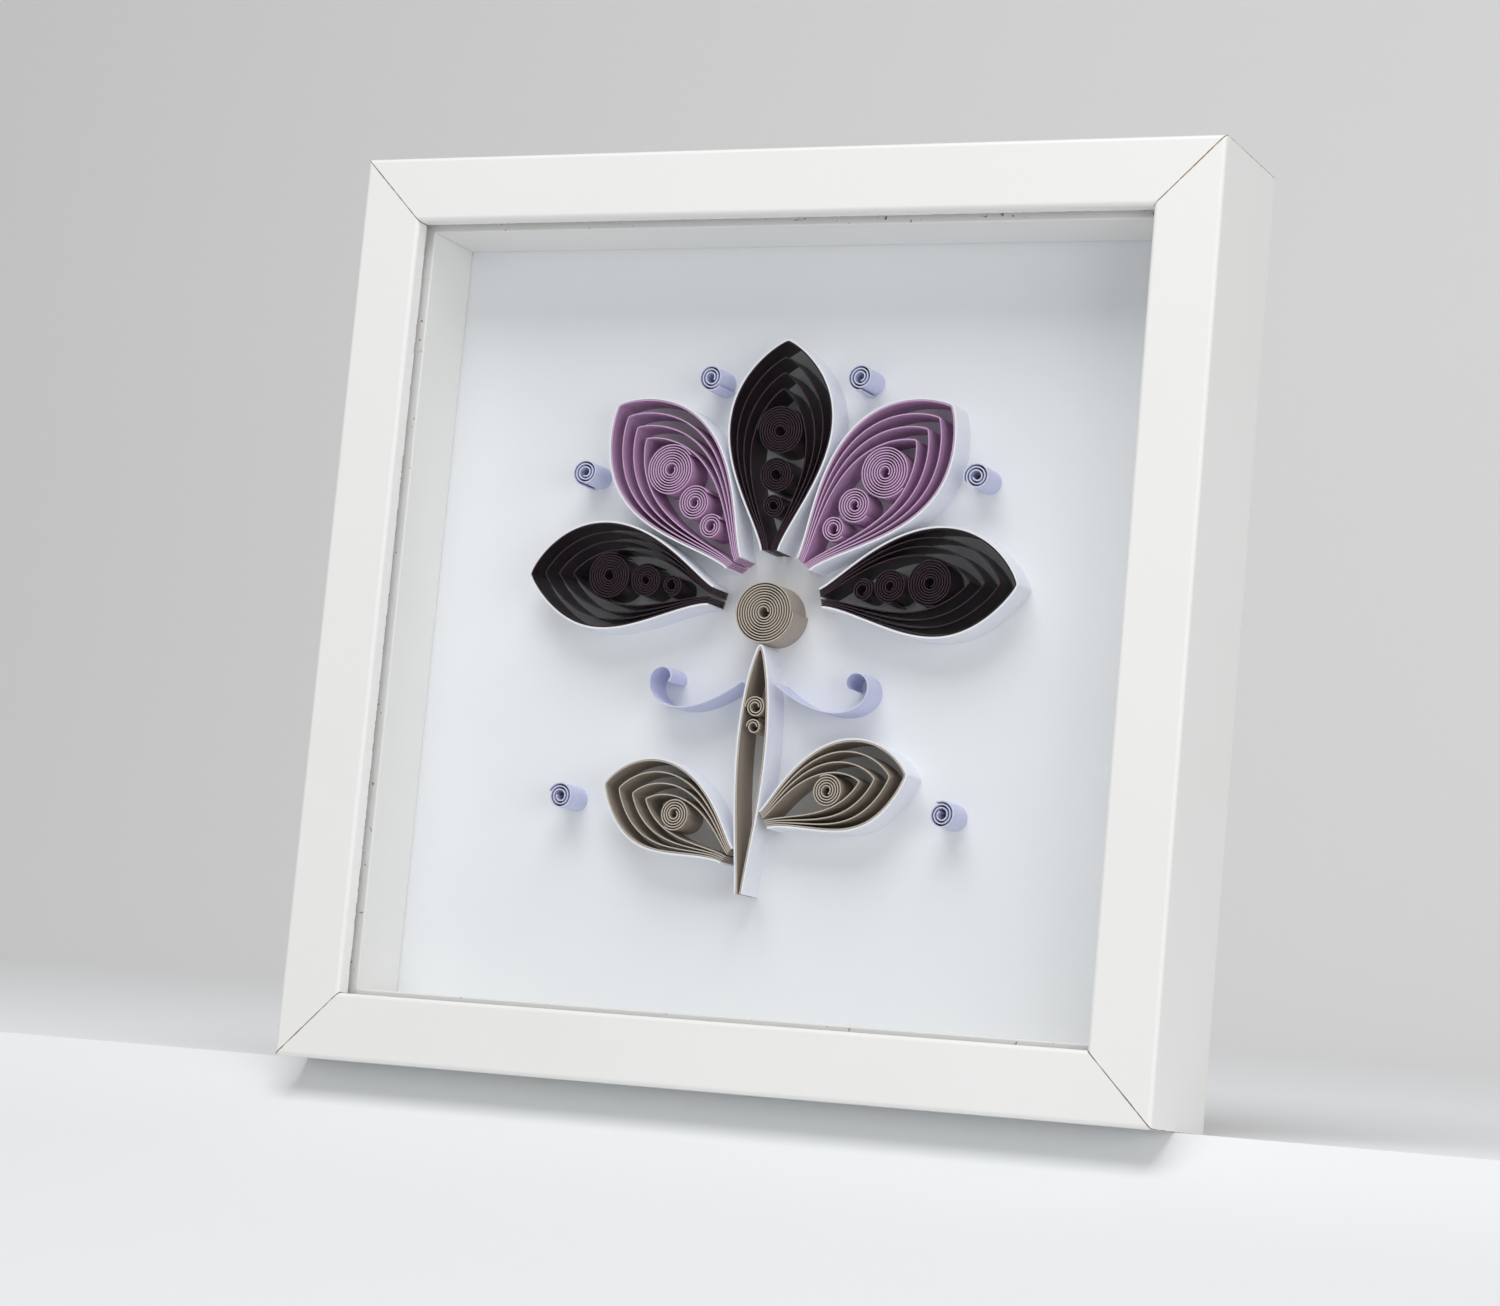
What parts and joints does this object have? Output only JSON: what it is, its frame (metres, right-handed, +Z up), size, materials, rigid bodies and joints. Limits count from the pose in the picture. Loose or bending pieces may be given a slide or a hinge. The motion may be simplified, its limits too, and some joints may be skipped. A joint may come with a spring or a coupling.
{
  "type": "framed quilled paper art",
  "caption": "Deep square white box frame with a quilled paper flower of coils and nested strips standing on white card behind glass.",
  "frame": {"origin": "centre of the box on the plane it stands on, under the middle of the depth", "axes": "+X to the right seen from the front, +Y from the front to the back, +Z up"},
  "size_m": [0.25, 0.042, 0.25],
  "materials": {
    "white_foil_fibreboard": "white wrapped foil, eggshell",
    "clear_glass": "polished",
    "white_card": "smooth matt",
    "brown_fibreboard": "raw fibreboard",
    "zinc_steel": "zinc plated",
    "paper_white": "smooth matt",
    "paper_plum": "smooth with a slight sheen",
    "paper_orchid": "smooth matt",
    "paper_taupe": "smooth matt",
    "paper_lilac": "smooth matt"
  },
  "bodies": {
    "root": {"back_board": "brown_fibreboard", "backing_card": "white_card", "corner_v_nails": "zinc_steel", "frame_bottom": "white_foil_fibreboard", "frame_left": "white_foil_fibreboard", "frame_right": "white_foil_fibreboard", "frame_top": "white_foil_fibreboard", "glass_pane": "clear_glass", "hanger_plate": "zinc_steel", "hanger_screws": "zinc_steel", "hub_coil": "paper_taupe", "leaf_left_coil": "paper_taupe", "leaf_left_loops": "paper_taupe", "leaf_left_rim": "paper_white", "leaf_right_coil": "paper_taupe", "leaf_right_loops": "paper_taupe", "leaf_right_rim": "paper_white", "loose_coil_1": "paper_lilac", "loose_coil_2": "paper_lilac", "loose_coil_3": "paper_lilac", "loose_coil_4": "paper_lilac", "loose_coil_5": "paper_lilac", "loose_coil_6": "paper_lilac", "petal_inner_left_coil_large": "paper_orchid", "petal_inner_left_coil_middle": "paper_orchid", "petal_inner_left_coil_small": "paper_orchid", "petal_inner_left_loops": "paper_orchid", "petal_inner_left_rim": "paper_white", "petal_inner_right_coil_large": "paper_orchid", "petal_inner_right_coil_middle": "paper_orchid", "petal_inner_right_coil_small": "paper_orchid", "petal_inner_right_loops": "paper_orchid", "petal_inner_right_rim": "paper_white", "petal_outer_left_coil_large": "paper_plum", "petal_outer_left_coil_middle": "paper_plum", "petal_outer_left_coil_small": "paper_plum", "petal_outer_left_loops": "paper_plum", "petal_outer_left_rim": "paper_white", "petal_outer_right_coil_large": "paper_plum", "petal_outer_right_coil_middle": "paper_plum", "petal_outer_right_coil_small": "paper_plum", "petal_outer_right_loops": "paper_plum", "petal_outer_right_rim": "paper_white", "petal_top_coil_large": "paper_plum", "petal_top_coil_middle": "paper_plum", "petal_top_coil_small": "paper_plum", "petal_top_loops": "paper_plum", "petal_top_rim": "paper_white", "retaining_tabs": "zinc_steel", "spacer_bottom": "white_foil_fibreboard", "spacer_left": "white_foil_fibreboard", "spacer_right": "white_foil_fibreboard", "spacer_top": "white_foil_fibreboard", "stem_coil_large": "paper_taupe", "stem_coil_middle": "paper_taupe", "stem_loops": "paper_taupe", "stem_rim": "paper_white", "tendril_left": "paper_lilac", "tendril_right": "paper_lilac"}
  },
  "joints": []
}
